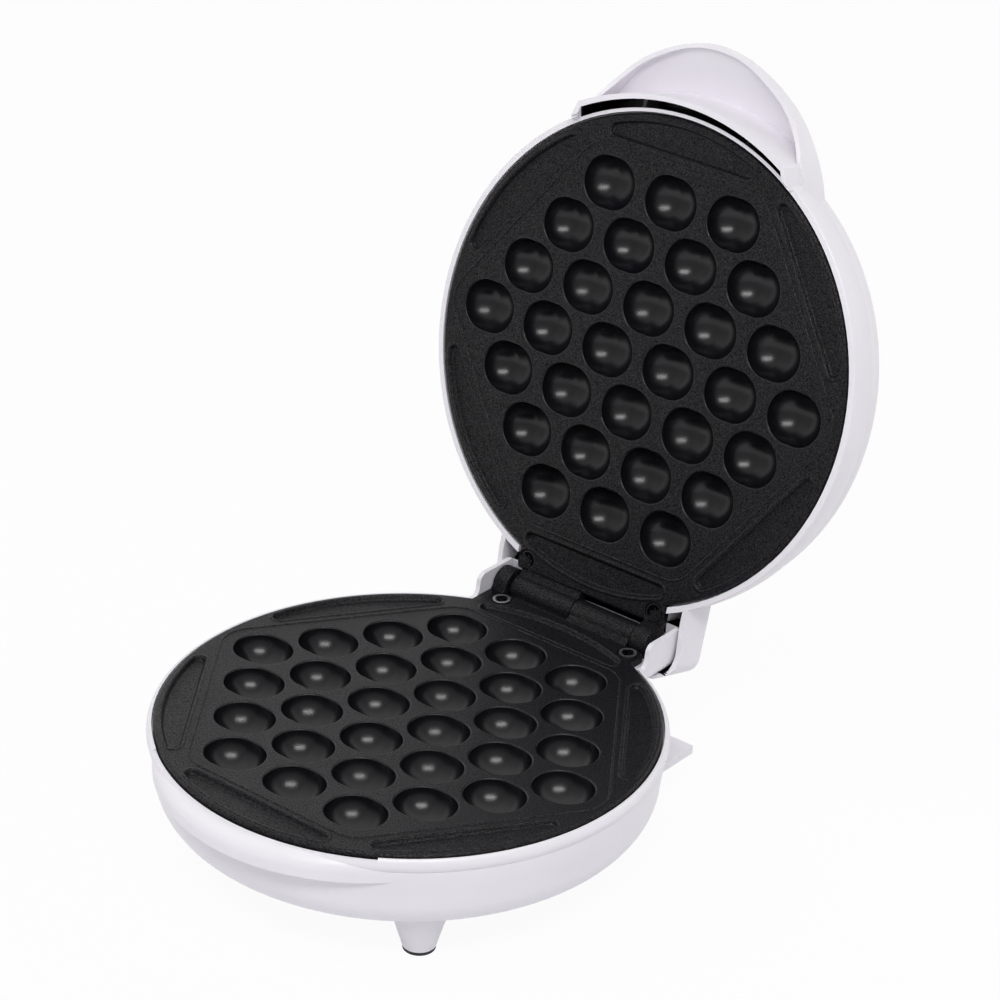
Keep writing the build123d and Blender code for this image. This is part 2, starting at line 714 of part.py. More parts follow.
with BuildPart() as block_form:
    zb = floor_z + 2
    add(block(-14.5, 14.5, block_y - 6.5, block_y + 6.5, zb, zb + 9))
    for x in (-11, 11):
        add(post(x, block_y, small_shank + 0.25, zb - 1, zb + 10), mode=Mode.SUBTRACT)
    for x in (-5, 5):
        add(rod_y(1.6, block_y - 8, block_y + 8, x, zb + 3.5), mode=Mode.SUBTRACT)

with BuildPart() as block_screws_form:
    for x in (-11, 11):
        add(post(x, block_y, small_head, zb + 9, zb + 9 + small_head_t))
        add(post(x, block_y, small_shank, floor_z + 0.1, zb + 9))
        add(block(x - 1.7, x + 1.7, block_y - 0.4, block_y + 0.4, zb + 10, zb + 12), mode=Mode.SUBTRACT)

with BuildPart() as gland_form:
    add(rod_y(gland_r, 87.0, gland_back, 0, -cord_z))
    add(rod_y(gland_r + 2.0, gland_back, gland_back + 2.4, 0, -cord_z))
    add(rod_y(gland_r + 1.0, 87.0, 88.9, 0, -cord_z))
    add(rod_y(cord_r, 80, 110, 0, -cord_z), mode=Mode.SUBTRACT)

with BuildPart() as pads_form:
    for x, y in feet:
        add(post(x, y, foot_low_r - 0.1, -base_top, pad_top))
        add(post(x, y, spigot_r - fit, pad_top, pad_top + 2.6))
    fillet(pads_form.edges().group_by(Axis.Z)[0], 0.5)

with BuildPart() as pin_form:
    add(rod_x(pin_r, x0 + 0.5, x3 + short_k + 0.7, hinge_y, hinge_z))
    chamfer(pin_form.edges(), 0.4)

# Pieces of the lid that the base does not have

with BuildPart() as stat_form:
    add(post(0, 0, stat_r, seat_z - stat_h, seat_z))
    add(post(0, 0, 2.0 - fit, seat_z, seat_z + 5))
    for x in (-4.5, 4.5):
        add(block(x - 0.4, x + 0.4, -3.2, 3.2, shield_z + 1.0, seat_z - stat_h))


def lens(x):
    with BuildPart() as cap:
        add(post(x, lens_y, lens_r, lid_height - 1.4, lid_height + 2.6))
        fillet(cap.edges().group_by(Axis.Z)[-1], 0.8)
        add(post(x, lens_y, lens_r + 1.3, lid_height - 2.6, lid_height - 1.4))
    return cap.part


def lamp(x):
    with BuildPart() as bulb:
        add(post(x, lens_y, 2.4, lid_height - 8.4, lid_height - 2.6))
        for dx in (-1.2, 1.2):
            add(post(x + dx, lens_y, 0.35, lid_height - 10.2, lid_height - 8.4))
    return bulb.part


def under_lid(form):
    """Turns a form drawn under the plate over into the lid and opens it."""
    return in_lid(turned_over(form))


# the origin is under the middle of the open appliance
open_lid = lid_form.part.rotate(Axis((0, hinge_y, hinge_z), (1, 0, 0)), -open_deg)
origin_y = -(open_lid.bounding_box().max.Y + base_form.part.bounding_box().min.Y) / 2
print("origin shift", round(origin_y, 3), "hinge", round(hinge_y + origin_y, 3), round(hinge_z + base_top, 3))

with BuildPart() as base_shell:
    add(in_base(base_form.part))
base_shell.part.label = "base_shell"
export_step(base_shell.part, "parts/base_shell.step")

with BuildPart() as lid_shell:
    add(in_lid(lid_form.part))
lid_shell.part.label = "lid_shell"
export_step(lid_shell.part, "parts/lid_shell.step")

# Grill plates: the lid plate is the same casting turned over, with its own knuckles

with BuildPart() as base_plate:
    add(in_base(grill_plate(base_spans)))
base_plate.part.label = "base_plate"
export_step(base_plate.part, "parts/base_plate.step")

with BuildPart() as lid_plate:
    add(in_lid(turned_over(grill_plate(mirrored_spans))))
lid_plate.part.label = "lid_plate"
export_step(lid_plate.part, "parts/lid_plate.step")

with BuildPart() as hinge_pin:
    add(in_base(pin_form.part))
hinge_pin.part.label = "hinge_pin"
export_step(hinge_pin.part, "parts/hinge_pin.step")

with BuildPart() as base_foot_pads:
    add(in_base(pads_form.part))
base_foot_pads.part.label = "base_foot_pads"
export_step(base_foot_pads.part, "parts/base_foot_pads.step")

with BuildPart() as base_plate_screws:
    add(in_base(plate_screws(0.3)))
base_plate_screws.part.label = "base_plate_screws"
export_step(base_plate_screws.part, "parts/base_plate_screws.step")

with BuildPart() as lid_plate_screws:
    add(under_lid(plate_screws(-0.5)))
lid_plate_screws.part.label = "lid_plate_screws"
export_step(lid_plate_screws.part, "parts/lid_plate_screws.step")

with BuildPart() as base_heating_element:
    add(in_base(heater()))
base_heating_element.part.label = "base_heating_element"
export_step(base_heating_element.part, "parts/base_heating_element.step")

with BuildPart() as lid_heating_element:
    add(under_lid(heater()))
lid_heating_element.part.label = "lid_heating_element"
export_step(lid_heating_element.part, "parts/lid_heating_element.step")

with BuildPart() as base_element_clamps:
    add(in_base(clamp_straps()))
base_element_clamps.part.label = "base_element_clamps"
export_step(base_element_clamps.part, "parts/base_element_clamps.step")

with BuildPart() as lid_element_clamps:
    add(under_lid(clamp_straps()))
lid_element_clamps.part.label = "lid_element_clamps"
export_step(lid_element_clamps.part, "parts/lid_element_clamps.step")

with BuildPart() as base_clamp_screws:
    add(in_base(clamp_screws()))
base_clamp_screws.part.label = "base_clamp_screws"
export_step(base_clamp_screws.part, "parts/base_clamp_screws.step")

with BuildPart() as lid_clamp_screws:
    add(under_lid(clamp_screws()))
lid_clamp_screws.part.label = "lid_clamp_screws"
export_step(lid_clamp_screws.part, "parts/lid_clamp_screws.step")

with BuildPart() as base_heat_shield:
    add(in_base(heat_shield()))
base_heat_shield.part.label = "base_heat_shield"
export_step(base_heat_shield.part, "parts/base_heat_shield.step")

with BuildPart() as lid_heat_shield:
    add(under_lid(heat_shield()))
lid_heat_shield.part.label = "lid_heat_shield"
export_step(lid_heat_shield.part, "parts/lid_heat_shield.step")

with BuildPart() as base_shield_screws:
    add(in_base(shield_screws()))
base_shield_screws.part.label = "base_shield_screws"
export_step(base_shield_screws.part, "parts/base_shield_screws.step")

with BuildPart() as lid_shield_screws:
    add(under_lid(shield_screws()))
lid_shield_screws.part.label = "lid_shield_screws"
export_step(lid_shield_screws.part, "parts/lid_shield_screws.step")

with BuildPart() as base_thermal_fuse:
    add(in_base(fuse_form.part))
base_thermal_fuse.part.label = "base_thermal_fuse"
export_step(base_thermal_fuse.part, "parts/base_thermal_fuse.step")

with BuildPart() as base_fuse_clip:
    add(in_base(clip_form.part))
base_fuse_clip.part.label = "base_fuse_clip"
export_step(base_fuse_clip.part, "parts/base_fuse_clip.step")

with BuildPart() as base_fuse_screw:
    add(in_base(screw(0, 6.4, seat_z - 0.8, 2.0, 1.6, 1.0, 4.8)))
base_fuse_screw.part.label = "base_fuse_screw"
export_step(base_fuse_screw.part, "parts/base_fuse_screw.step")

with BuildPart() as base_terminal_block:
    add(in_base(block_form.part))
base_terminal_block.part.label = "base_terminal_block"
export_step(base_terminal_block.part, "parts/base_terminal_block.step")

with BuildPart() as base_terminal_screws:
    add(in_base(block_screws_form.part))
base_terminal_screws.part.label = "base_terminal_screws"
export_step(base_terminal_screws.part, "parts/base_terminal_screws.step")

with BuildPart() as base_cord_gland:
    add(in_base(gland_form.part))
base_cord_gland.part.label = "base_cord_gland"
export_step(base_cord_gland.part, "parts/base_cord_gland.step")

with BuildPart() as lid_thermostat:
    add(under_lid(stat_form.part))
lid_thermostat.part.label = "lid_thermostat"
export_step(lid_thermostat.part, "parts/lid_thermostat.step")

with BuildPart() as lid_power_lens:
    add(in_lid(lens(-lens_x)))
lid_power_lens.part.label = "lid_power_lens"
export_step(lid_power_lens.part, "parts/lid_power_lens.step")

with BuildPart() as lid_ready_lens:
    add(in_lid(lens(lens_x)))
lid_ready_lens.part.label = "lid_ready_lens"
export_step(lid_ready_lens.part, "parts/lid_ready_lens.step")

with BuildPart() as lid_power_lamp:
    add(in_lid(lamp(-lens_x)))
lid_power_lamp.part.label = "lid_power_lamp"
export_step(lid_power_lamp.part, "parts/lid_power_lamp.step")

with BuildPart() as lid_ready_lamp:
    add(in_lid(lamp(lens_x)))
lid_ready_lamp.part.label = "lid_ready_lamp"
export_step(lid_ready_lamp.part, "parts/lid_ready_lamp.step")
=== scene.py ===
import json
import math

import bmesh
import bpy
import numpy as np
from mathutils import Matrix, Vector
from mathutils.geometry import delaunay_2d_cdt


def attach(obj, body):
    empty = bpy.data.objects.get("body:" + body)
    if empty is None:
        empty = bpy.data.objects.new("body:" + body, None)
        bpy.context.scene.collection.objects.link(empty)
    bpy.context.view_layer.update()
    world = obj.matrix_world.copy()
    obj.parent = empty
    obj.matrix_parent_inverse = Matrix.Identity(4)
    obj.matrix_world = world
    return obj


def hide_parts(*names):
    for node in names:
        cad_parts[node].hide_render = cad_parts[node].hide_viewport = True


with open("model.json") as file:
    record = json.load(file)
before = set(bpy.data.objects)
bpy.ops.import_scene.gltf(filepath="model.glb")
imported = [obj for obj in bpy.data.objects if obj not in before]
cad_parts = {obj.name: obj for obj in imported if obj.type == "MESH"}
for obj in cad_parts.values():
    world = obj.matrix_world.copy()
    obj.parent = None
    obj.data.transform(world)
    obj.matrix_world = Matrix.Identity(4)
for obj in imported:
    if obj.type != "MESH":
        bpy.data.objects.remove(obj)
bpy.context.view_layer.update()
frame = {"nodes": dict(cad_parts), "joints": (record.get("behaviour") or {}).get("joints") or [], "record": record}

# Bubble waffle maker. The two grill castings are drawn in millimetres in the shut appliance, with
# z = 0 on the face of the base casting and x = y = 0 in its middle, and are then placed in metres.
# Every other piece is a copy of its CAD solid, shaded smoothly and given its finish.

HINGE = frame["joints"][0]
OPEN_DEG = HINGE["range_deg"][1]
PIN_Y, PIN_Z = 105.4, 0.5                      # hinge pin in the shut appliance
TABLE_Z = HINGE["pos_m"][2] * 1000 - PIN_Z     # face of the base casting above the table
CENTRE_Y = HINGE["pos_m"][1] * 1000 - PIN_Y    # middle of the castings in the frame

PLATE_R, PLATE_T = 96.3, 4.0         # radius and wall of a casting
EDGE_R = 1.4                         # rounding of its face along the outline
TAB_HALF, TAB_END = 36.7, 98.1       # half width and far end of the tongue at its rear
TAB_CORNER = 1.6

BALL, BALL_WALL = 10.4, 2.2          # radius of a cavity and the wall under it
BALL_DX = 1.8                        # half of the straight part that makes a cavity oval
BALL_UP = 0.6                        # centre of the ball above the face
LIP_R = 0.75                         # rounding at the lip of a cavity
RIM_LAND = 9.1                       # flat between the outermost cavities and the rim
CELL_ROWS = (3, 4, 5, 6, 5, 4, 3)    # cavities in each row
PITCH = (PLATE_R - RIM_LAND - BALL - BALL_DX) / 2.5    # the row of six spans five pitches
ROW = 0.708 * PITCH                  # distance between rows
CELLS = [((k - (n - 1) / 2) * PITCH, (row - 3) * ROW)
         for row, n in enumerate(CELL_ROWS) for k in range(n)]

FIELD_Y = 3 * ROW + BALL + 5.5              # bead round the cavities: middle to its rear side
FIELD_SLANT = math.atan2(ROW, PITCH / 2)    # angle of its slanted sides from x
SLANT_IN = 0.6                              # these lie this much nearer to the middle
FIELD_CORNER = 14

POCKET_GAP, POCKET_RIM = 2.3, 3.0           # segment pocket: distance from the bead and the rim
POCKET_HALF, POCKET_CORNER = 34.5, 2.6

# Profiles across a contour: how far in, how high, and by what angle the normal leans outwards.
BEAD = [(0, 0, 0.0), (0.18, 0.16, 0.9), (0.42, 0.33, 0.35), (0.78, 0.33, -0.35), (1.02, 0.16, -0.9),
        (1.2, 0, 0.0)]
POCKET_WALL = [(-1.5, 0.0, 0.0), (-1.25, 0.1, 0.5), (-0.9, 0.27, 0.35), (-0.5, 0.32, -0.1),
               (-0.1, 0.18, -0.6), (0.2, -0.15, -1.0), (0.5, -0.7, -1.1), (0.8, -1.2, -0.9),
               (1.1, -1.43, -0.4), (1.5, -1.5, 0.0)]
# The same for a plate screw's seat, with its radius first.
SCREW_SEAT = [(4.45, 0, 0.0), (4.2, -0.15, -0.8), (4.1, -0.4, -1.5), (4.05, -1.5, -1.2),
              (3.9, -1.6, 0.0)]
# Down the outer wall of a casting: how far in, how high, and by what angle the normal points up.
OUTER_WALL = [(0.0, -PLATE_T + 0.5, 0.0), (0.15, -PLATE_T + 0.15, -0.7), (0.5, -PLATE_T, -1.3)]

SCREW_X, SCREW_Y = 32.0, 93.6               # plate screws in the tongue
HEAD_R = 3.6

# Knuckles along x, in the base's directions, each casting with a long one and an end one.
SPLIT_X, PLAY = -3.0, 0.2                   # where the long ones meet, and half the gap there
LONG, LONG_R = 30.2, 5.3
END_GAP, END_R = 1.0, 6.8
BASE_END, LID_END = 6.6, 7.8

# Posts on the back of a casting.
POST_R, SEAT_CLEAR = 4.2, 0.4               # the heater's seat clears the cavities' bumps
HEATER_R, CLAMP_STEP, CLAMP_DROP = 62.0, 8.5, 6.6
SHIELD_POST_R, SHIELD_DROP = 45, 12.0
CONTROL_R = 10.0

MM = Matrix.Scale(0.001, 4)
IN_BASE = MM @ Matrix.Translation((0, CENTRE_Y, TABLE_Z))
ABOUT_PIN = (Matrix.Translation((0, PIN_Y, PIN_Z)) @ Matrix.Rotation(math.radians(-OPEN_DEG), 4, "X")
             @ Matrix.Translation((0, -PIN_Y, -PIN_Z)))
IN_LID = IN_BASE @ ABOUT_PIN
TURNED_OVER = Matrix.Translation((0, 0, 2 * PIN_Z)) @ Matrix.Rotation(math.pi, 4, "Y")


# Materials

# Noise scales are cells per metre of Object coordinates.
ORANGE_PEEL = 420.0      # 2.4 mm, as on moulded covers
TONE_PATCH = 22.0        # 45 mm
SPRAY_GRAIN = 1700.0     # 0.6 mm: real spray is finer, and is drawn this coarse so that it shows
SPRAY_SPECK = 1900.0     # 0.5 mm: likewise
SPRAY_PATCH = 40.0       # 25 mm, where the coat is rougher or smoother
ZINC_FILM = 900.0        # 1.1 mm

COLOUR_A, COLOUR_B, COLOUR_OUT = 6, 7, 2    # sockets of a Mix node in colour mode
NUMBER_A, NUMBER_B = 2, 3                   # and of one that mixes numbers


def srgb(code):
    """sRGB hex to the linear colour that a shader takes."""
    parts = [int(code[i:i + 2], 16) / 255 for i in (1, 3, 5)]
    return [c / 12.92 if c <= 0.04045 else ((c + 0.055) / 1.055) ** 2.4 for c in parts] + [1.0]


def node(tree, kind, settings=None, links=None):
    """Adds a node, sets its properties and input values, and links its inputs. A link that names
    a node takes its first output."""
    n = tree.nodes.new(kind)
    for key, value in (settings or {}).items():
        if isinstance(key, str) and hasattr(n, key):
            setattr(n, key, value)
        else:
            n.inputs[key].default_value = value
    for key, source in (links or {}).items():
        socket = source.outputs[0] if isinstance(source, bpy.types.Node) else source
        tree.links.new(socket, n.inputs[key])
    return n


def span(low, high, start, end):
    """Settings of a Map Range node that takes low..high to start..end."""
    return {"From Min": low, "From Max": high, "To Min": start, "To Max": end}


def new_material(name):
    m = bpy.data.materials.new(name)
    m.use_nodes = True
    m.node_tree.nodes.clear()
    return m, m.node_tree


def moulded_shell():
    """Injection moulded ABS, cool white: smooth satin gloss, a faint orange peel that breaks up
    reflections, and a very slight unevenness of tone. Faces that carry the shade attribute are
    painted near black: painted shade, for depth and openings that the solid doesn't have."""
    m, t = new_material("moulded_white_abs")
    place = node(t, "ShaderNodeTexCoord").outputs["Object"]
    peel = node(t, "ShaderNodeTexNoise", {"Scale": ORANGE_PEEL, "Detail": 2.0, "Roughness": 0.5},
                {"Vector": place})
    broad = node(t, "ShaderNodeTexNoise", {"Scale": TONE_PATCH, "Detail": 3.0, "Roughness": 0.55},
                 {"Vector": place})
    tone = node(t, "ShaderNodeMapRange", span(0.3, 0.7, 0.0, 1.0), {"Value": broad})
    skin = node(t, "ShaderNodeMix",
                {"data_type": "RGBA", COLOUR_A: srgb("#e9e6ec"), COLOUR_B: srgb("#eeebf1")}, {0: tone})
    # painted shade: near black is mixed into the colour where the faces are marked
    painted_shade = node(t, "ShaderNodeAttribute", {"attribute_name": "painted_shade"}).outputs["Fac"]
    colour = node(t, "ShaderNodeMix", {"data_type": "RGBA", COLOUR_B: srgb("#0b0a0d")},
                  {0: painted_shade, COLOUR_A: skin.outputs[COLOUR_OUT]})
    rough = node(t, "ShaderNodeMapRange", span(0.3, 0.7, 0.30, 0.37), {"Value": broad})
    bump = node(t, "ShaderNodeBump", {"Strength": 0.06, "Distance": 0.0004}, {"Height": peel})
    shader = node(t, "ShaderNodeBsdfPrincipled", {"IOR": 1.5},
                  {"Base Color": colour.outputs[COLOUR_OUT], "Roughness": rough, "Normal": bump})
    node(t, "ShaderNodeOutputMaterial", {}, {"Surface": shader})
    return m


def coated_casting():
    """Cast aluminium under a sprayed PTFE coating: near black, so that it shows little but the soft
    sheen of its surroundings. The flats have a fine sprayed grain with paler, glossier specks; the
    cavities are smoother."""
    m, t = new_material("nonstick_coated_casting")
    place = node(t, "ShaderNodeTexCoord").outputs["Object"]
    grain = node(t, "ShaderNodeTexNoise", {"Scale": SPRAY_GRAIN, "Detail": 2.0, "Roughness": 0.6},
                 {"Vector": place})
    fleck = node(t, "ShaderNodeTexNoise", {"Scale": SPRAY_SPECK, "Detail": 2.0, "Roughness": 0.6},
                 {"Vector": place})
    broad = node(t, "ShaderNodeTexNoise", {"Scale": SPRAY_PATCH, "Detail": 3.0, "Roughness": 0.5},
                 {"Vector": place})
    cavity = node(t, "ShaderNodeAttribute", {"attribute_name": "cavity"}).outputs["Fac"]
    specks = node(t, "ShaderNodeMapRange", span(0.35, 0.68, 0.0, 1.0), {"Value": fleck})
    flats = node(t, "ShaderNodeMix",
                 {"data_type": "RGBA", COLOUR_A: srgb("#09090b"), COLOUR_B: srgb("#18171b")},
                 {0: specks})
    colour = node(t, "ShaderNodeMix", {"data_type": "RGBA", COLOUR_B: srgb("#0a090e")},
                  {0: cavity, COLOUR_A: flats.outputs[COLOUR_OUT]})
    patch = node(t, "ShaderNodeMapRange", span(0.3, 0.7, -0.03, 0.03), {"Value": broad})
    mean_rough = node(t, "ShaderNodeMapRange", span(0.0, 1.0, 0.44, 0.27), {"Value": cavity})
    rough = node(t, "ShaderNodeMath", {"operation": "ADD"}, {0: mean_rough, 1: patch})
    grain_depth = node(t, "ShaderNodeMapRange", span(0.0, 1.0, 0.9, 0.12), {"Value": cavity})
    bump = node(t, "ShaderNodeBump", {"Distance": 0.00025}, {"Height": grain, "Strength": grain_depth})
    speck_gloss = node(t, "ShaderNodeMapRange", span(0.38, 0.66, 0.08, 0.5), {"Value": fleck})
    gloss = node(t, "ShaderNodeMix", {NUMBER_B: 0.5}, {0: cavity, NUMBER_A: speck_gloss})
    shader = node(t, "ShaderNodeBsdfPrincipled", {"IOR": 1.5},
                  {"Specular IOR Level": gloss, "Base Color": colour.outputs[COLOUR_OUT],
                   "Roughness": rough, "Normal": bump})
    node(t, "ShaderNodeOutputMaterial", {}, {"Surface": shader})
    return m


def plated_steel():
    """Zinc plated steel screws: pale grey metal under a dull film of uneven tone."""
    m, t = new_material("zinc_plated_steel")
    place = node(t, "ShaderNodeTexCoord").outputs["Object"]
    film = node(t, "ShaderNodeTexNoise", {"Scale": ZINC_FILM, "Detail": 3.0}, {"Vector": place})
    tone = node(t, "ShaderNodeMapRange", span(0.3, 0.7, 0.0, 1.0), {"Value": film})
    colour = node(t, "ShaderNodeMix",
                  {"data_type": "RGBA", COLOUR_A: srgb("#9a9a9c"), COLOUR_B: srgb("#bdbdc0")},
                  {0: tone})
    rough = node(t, "ShaderNodeMapRange", span(0.3, 0.7, 0.28, 0.45), {"Value": film})
    shader = node(t, "ShaderNodeBsdfPrincipled", {"Metallic": 1.0},
                  {"Base Color": colour.outputs[COLOUR_OUT], "Roughness": rough})
    node(t, "ShaderNodeOutputMaterial", {}, {"Surface": shader})
    return m


def screw_head(name, recess, edge, start, end):
    """Plate screw: a recess painted dark as painted shade, and a paler, smoother edge round the head. The
    attribute rim is 0 on the axis and 1 at the edge of the head, and the change lies between start and end."""
    m, t = new_material(name)
    rim = node(t, "ShaderNodeAttribute", {"attribute_name": "rim"}).outputs["Fac"]
    # painted shade: near the axis the recess colour stands for the shade in the recess
    out_of_recess_shade = node(t, "ShaderNodeMapRange", span(start, end, 0.0, 1.0), {"Value": rim})
    colour = node(t, "ShaderNodeMix",
                  {"data_type": "RGBA", COLOUR_A: srgb(recess), COLOUR_B: srgb(edge)}, {0: out_of_recess_shade})
    rough = node(t, "ShaderNodeMapRange", span(start, end, 0.6, 0.3), {"Value": rim})
    shader = node(t, "ShaderNodeBsdfPrincipled", {"Metallic": 1.0},
                  {"Base Color": colour.outputs[COLOUR_OUT], "Roughness": rough})
    node(t, "ShaderNodeOutputMaterial", {}, {"Surface": shader})
    return m


def plain(name, dark, pale, rough, scale=300.0, metal=0.0, bump_by=0.0):
    """A finish that varies a little between two colours over patches of 1 / scale metres."""
    m, t = new_material(name)
    place = node(t, "ShaderNodeTexCoord").outputs["Object"]
    film = node(t, "ShaderNodeTexNoise", {"Scale": scale, "Detail": 4.0, "Roughness": 0.55},
                {"Vector": place})
    tone = node(t, "ShaderNodeMapRange", span(0.3, 0.7, 0.0, 1.0), {"Value": film})
    colour = node(t, "ShaderNodeMix",
                  {"data_type": "RGBA", COLOUR_A: srgb(dark), COLOUR_B: srgb(pale)}, {0: tone})
    uneven = node(t, "ShaderNodeMapRange", span(0.3, 0.7, rough - 0.05, rough + 0.05), {"Value": film})
    lift = node(t, "ShaderNodeBump", {"Strength": bump_by, "Distance": 0.0003}, {"Height": film})
    shader = node(t, "ShaderNodeBsdfPrincipled", {"Metallic": metal},
                  {"Base Color": colour.outputs[COLOUR_OUT], "Roughness": uneven, "Normal": lift})
    node(t, "ShaderNodeOutputMaterial", {}, {"Surface": shader})
    return m


# Contours on the face of a casting

def loop_normals(loop):
    """Outward unit normals of a closed loop that runs anticlockwise."""
    step = np.roll(loop, -1, axis=0) - np.roll(loop, 1, axis=0)
    n = np.stack([step[:, 1], -step[:, 0]], axis=1)
    return n / np.linalg.norm(n, axis=1)[:, None]


def arc(cx, cy, r, a, b, count):
    t = np.radians(np.linspace(a, b, count))
    return np.stack([cx + r * np.cos(t), cy + r * np.sin(t)], axis=1)


def circle(cx, cy, r, count=32):
    t = np.linspace(0, 2 * math.pi, count + 1)[:-1]
    return np.stack([cx + r * np.cos(t), cy + r * np.sin(t)], axis=1)


def rounded(corners, radii, per_corner):
    """Closed loop through corner points, each rounded with an arc of its own radius."""
    out = []
    pts = [Vector(p) for p in corners]
    for i, (p, r) in enumerate(zip(pts, radii)):
        a, b = pts[i - 1] - p, pts[(i + 1) % len(pts)] - p
        half = a.angle(b) / 2
        reach = r / math.tan(half)
        start, end = p + a.normalized() * reach, p + b.normalized() * reach
        centre = p + (a.normalized() + b.normalized()).normalized() * (r / math.sin(half))
        u, v = start - centre, end - centre
        turn = math.atan2(u.x * v.y - u.y * v.x, u.dot(v))
        for k in range(per_corner):
            s, c = math.sin(turn * k / (per_corner - 1)), math.cos(turn * k / (per_corner - 1))
            out.append((centre.x + u.x * c - u.y * s, centre.y + u.x * s + u.y * c))
    return np.array(out)


def pocket_loop(inset):
    """Segment pocket between the rear side of the bead and the rim, drawn in by inset."""
    flat, rim, half = FIELD_Y + POCKET_GAP + inset, PLATE_R - POCKET_RIM - inset, POCKET_HALF - inset
    edge = math.sqrt(rim ** 2 - half ** 2)
    least_r, in_from_corner_deg = 0.5, 1.6
    r = max(POCKET_CORNER - inset, least_r)
    a0 = math.degrees(math.atan2(edge, half)) + in_from_corner_deg
    along_rim = arc(0, 0, rim, a0, 180 - a0, 25)
    # the two rounded corners of one end; the first and last points only aim their arcs
    per_corner = 7
    aimed = [(half - 12, flat), (half, flat), (half, edge), tuple(along_rim[3])]
    right = rounded(aimed, [0.01, r, r, 0.01], per_corner)[per_corner:3 * per_corner]
    left = np.stack([-right[::-1, 0], right[::-1, 1]], axis=1)
    straight = np.stack([np.linspace(-half + r + 3, half - r - 3, 12), np.full(12, flat)], axis=1)
    curved = along_rim[np.abs(along_rim[:, 0]) < half - r - 2.0]
    return np.vstack([straight, right, curved, left])


def hexagon_loop(inset):
    """Bead round the cavity field, drawn in by inset."""
    n = math.pi / 2 - FIELD_SLANT
    dist, top = FIELD_Y - SLANT_IN - inset, FIELD_Y - inset
    cut_x, far_x = (dist - top * math.sin(n)) / math.cos(n), dist / math.cos(n)
    corners = [(far_x, 0), (cut_x, top), (-cut_x, top), (-far_x, 0), (-cut_x, -top), (cut_x, -top)]
    return rounded(corners, [FIELD_CORNER - inset] * 6, 13)


def stadium(cx, cy, r, count=48):
    """Loop round an oval cavity, with its straight parts along x."""
    t = 2 * math.pi * (np.arange(count) + 0.5) / count
    x = r * np.cos(t)
    return np.stack([cx + x + np.where(np.cos(t) > 0, BALL_DX, -BALL_DX), cy + r * np.sin(t)], axis=1)


def plate_outline(inset):
    """Disc with the rear tongue, drawn in by inset."""
    r, half, end = PLATE_R - inset, TAB_HALF - inset, TAB_END - inset
    meet = math.sqrt(r ** 2 - half ** 2)
    a0 = math.degrees(math.atan2(meet, half))
    flank = end - TAB_CORNER - meet
    across = half - TAB_CORNER - 3
    return np.vstack([
        arc(0, 0, r, 180 - a0, 360 + a0, 220),
        [(half, meet + flank * f) for f in (0.3, 0.65)],
        arc(half - TAB_CORNER, end - TAB_CORNER, TAB_CORNER, 0, 90, 6),
        [(x, end) for x in np.linspace(across, -across, 20)],
        arc(-half + TAB_CORNER, end - TAB_CORNER, TAB_CORNER, 90, 180, 6),
        [(-half, meet + flank * f) for f in (0.65, 0.3)],
    ])


class Contours:
    """Closed loops on the face of a casting, seen from above, and what each of their points has."""

    def __init__(self):
        self.plan = []
        self.height = []
        self.normal = []
        self.cavity = []    # 0 on the flats, 1 in a cavity
        self.back = []      # the point on the back of the casting that goes with it
        self.edges = []

    def add_point(self, x, y, z, normal, cavity, back):
        self.plan.append((x, y))
        self.height.append(z)
        self.normal.append(normal)
        self.cavity.append(cavity)
        self.back.append(back)

    def add_loop(self, loop, z, slope, cavity=0.0, back=None):
        """slope is the angle by which the face normal leans outwards from the loop."""
        first = len(self.plan)
        s, c = math.sin(slope), math.cos(slope)
        for i, (p, n) in enumerate(zip(loop, loop_normals(loop))):
            x, y = float(p[0]), float(p[1])
            self.add_point(x, y, z, (n[0] * s, n[1] * s, c), cavity, back[i] if back else (x, y, -PLATE_T))
            self.edges.append((first + i, first + (i + 1) % len(loop)))


def add_cavities(face):
    """Loops of every cavity: the rounding at its lip, then the ball, with its bump on the back."""
    lip_c = math.sqrt((BALL + LIP_R) ** 2 - (LIP_R + BALL_UP) ** 2)
    meet_deg = math.degrees(math.asin(lip_c / (BALL + LIP_R)))
    bump = BALL + BALL_WALL
    bump_deg = math.degrees(math.acos((PLATE_T + BALL_UP) / bump))    # where it meets the flat back
    bump_foot = bump * math.sin(math.radians(bump_deg))
    rings = []
    lip_rings, ball_rings, last_deg = 5, 12, 6
    for k, a in enumerate(np.linspace(0, meet_deg, lip_rings)):
        s, c = math.sin(math.radians(a)), math.cos(math.radians(a))
        rings.append((k, a, lip_c - LIP_R * s, -LIP_R + LIP_R * c, a / meet_deg))
    for k, a in enumerate(np.linspace(meet_deg, last_deg, ball_rings)[1:], lip_rings):
        s, c = math.sin(math.radians(a)), math.cos(math.radians(a))
        rings.append((k, a, BALL * s, BALL_UP - BALL * c, 1.0))
    for cx, cy in CELLS:
        for k, a, r, z, cavity in rings:
            if k < lip_rings or a > bump_deg:
                # a ring with no place on the bump lies on the flat back, close round its foot
                back_r, back_z = bump_foot + 0.02 * (9 - k), -PLATE_T
            else:
                back_r = bump * math.sin(math.radians(a))
                back_z = BALL_UP - bump * math.cos(math.radians(a))
            back = [(x, y, back_z) for x, y in stadium(cx, cy, back_r)]
            face.add_loop(stadium(cx, cy, r), z, -math.radians(a), cavity, back)
        for x in (cx - BALL_DX, cx, cx + BALL_DX):
            face.add_point(x, cy, BALL_UP - BALL, (0, 0, 1), 1.0, (x, cy, BALL_UP - bump))


def add_pockets(face):
    """Six segment pockets with rounded raised rims, one along each side of the bead."""
    side = math.degrees(FIELD_SLANT)
    for turn in (0, 180, side, -side, 180 - side, side - 180):
        c, s = math.cos(math.radians(turn)), math.sin(math.radians(turn))
        for inset, z, slope in POCKET_WALL:
            face.add_loop(pocket_loop(inset) @ np.array([[c, s], [-s, c]]), z, slope)


# Meshes

